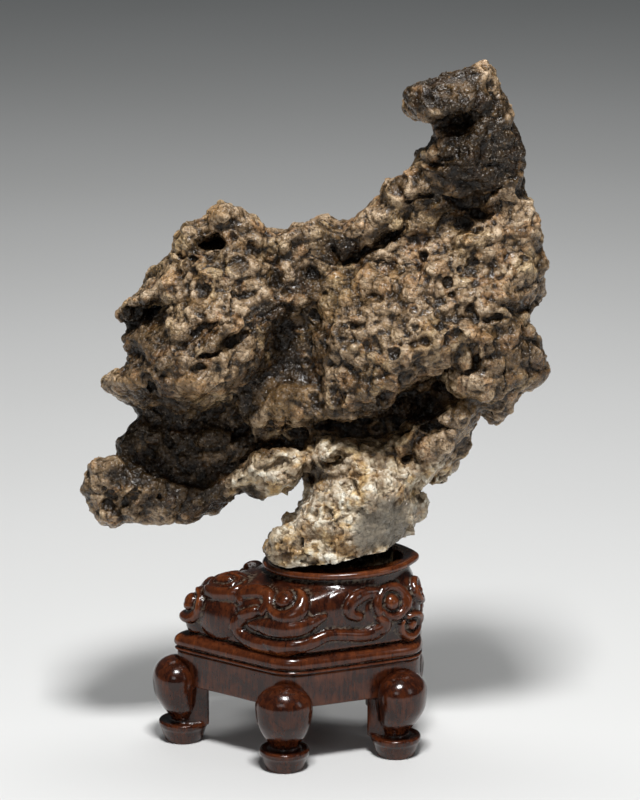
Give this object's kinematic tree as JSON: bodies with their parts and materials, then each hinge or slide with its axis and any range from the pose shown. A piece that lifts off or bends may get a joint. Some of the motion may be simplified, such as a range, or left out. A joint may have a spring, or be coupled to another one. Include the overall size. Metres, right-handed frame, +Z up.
{
  "type": "scholar's rock on a stand",
  "caption": "Craggy dark scholar's rock of spreading, pitted lobes and a beaked tower, balanced on a narrow neck in a carved hardwood stand with bulbous legs.",
  "frame": {"origin": "on the ground under the middle of the bounding box", "axes": "+Z up; -Y is the carved front, the side the rock is viewed from; +X to the viewer's right, the side of the tower"},
  "size_m": [0.3303, 0.1616, 0.4941],
  "materials": {
    "stone": "dark olive-brown stone, waxy on its bumps, ochre in spots, paler and rougher on the neck",
    "wood": "dark red-brown hardwood, carved and polished, fine dark pores"
  },
  "bodies": {
    "root": {"stone": "stone", "stand": "wood", "leg_front": "wood", "leg_left": "wood", "leg_right": "wood", "leg_back_right": "wood", "leg_back_left": "wood"}
  },
  "joints": []
}
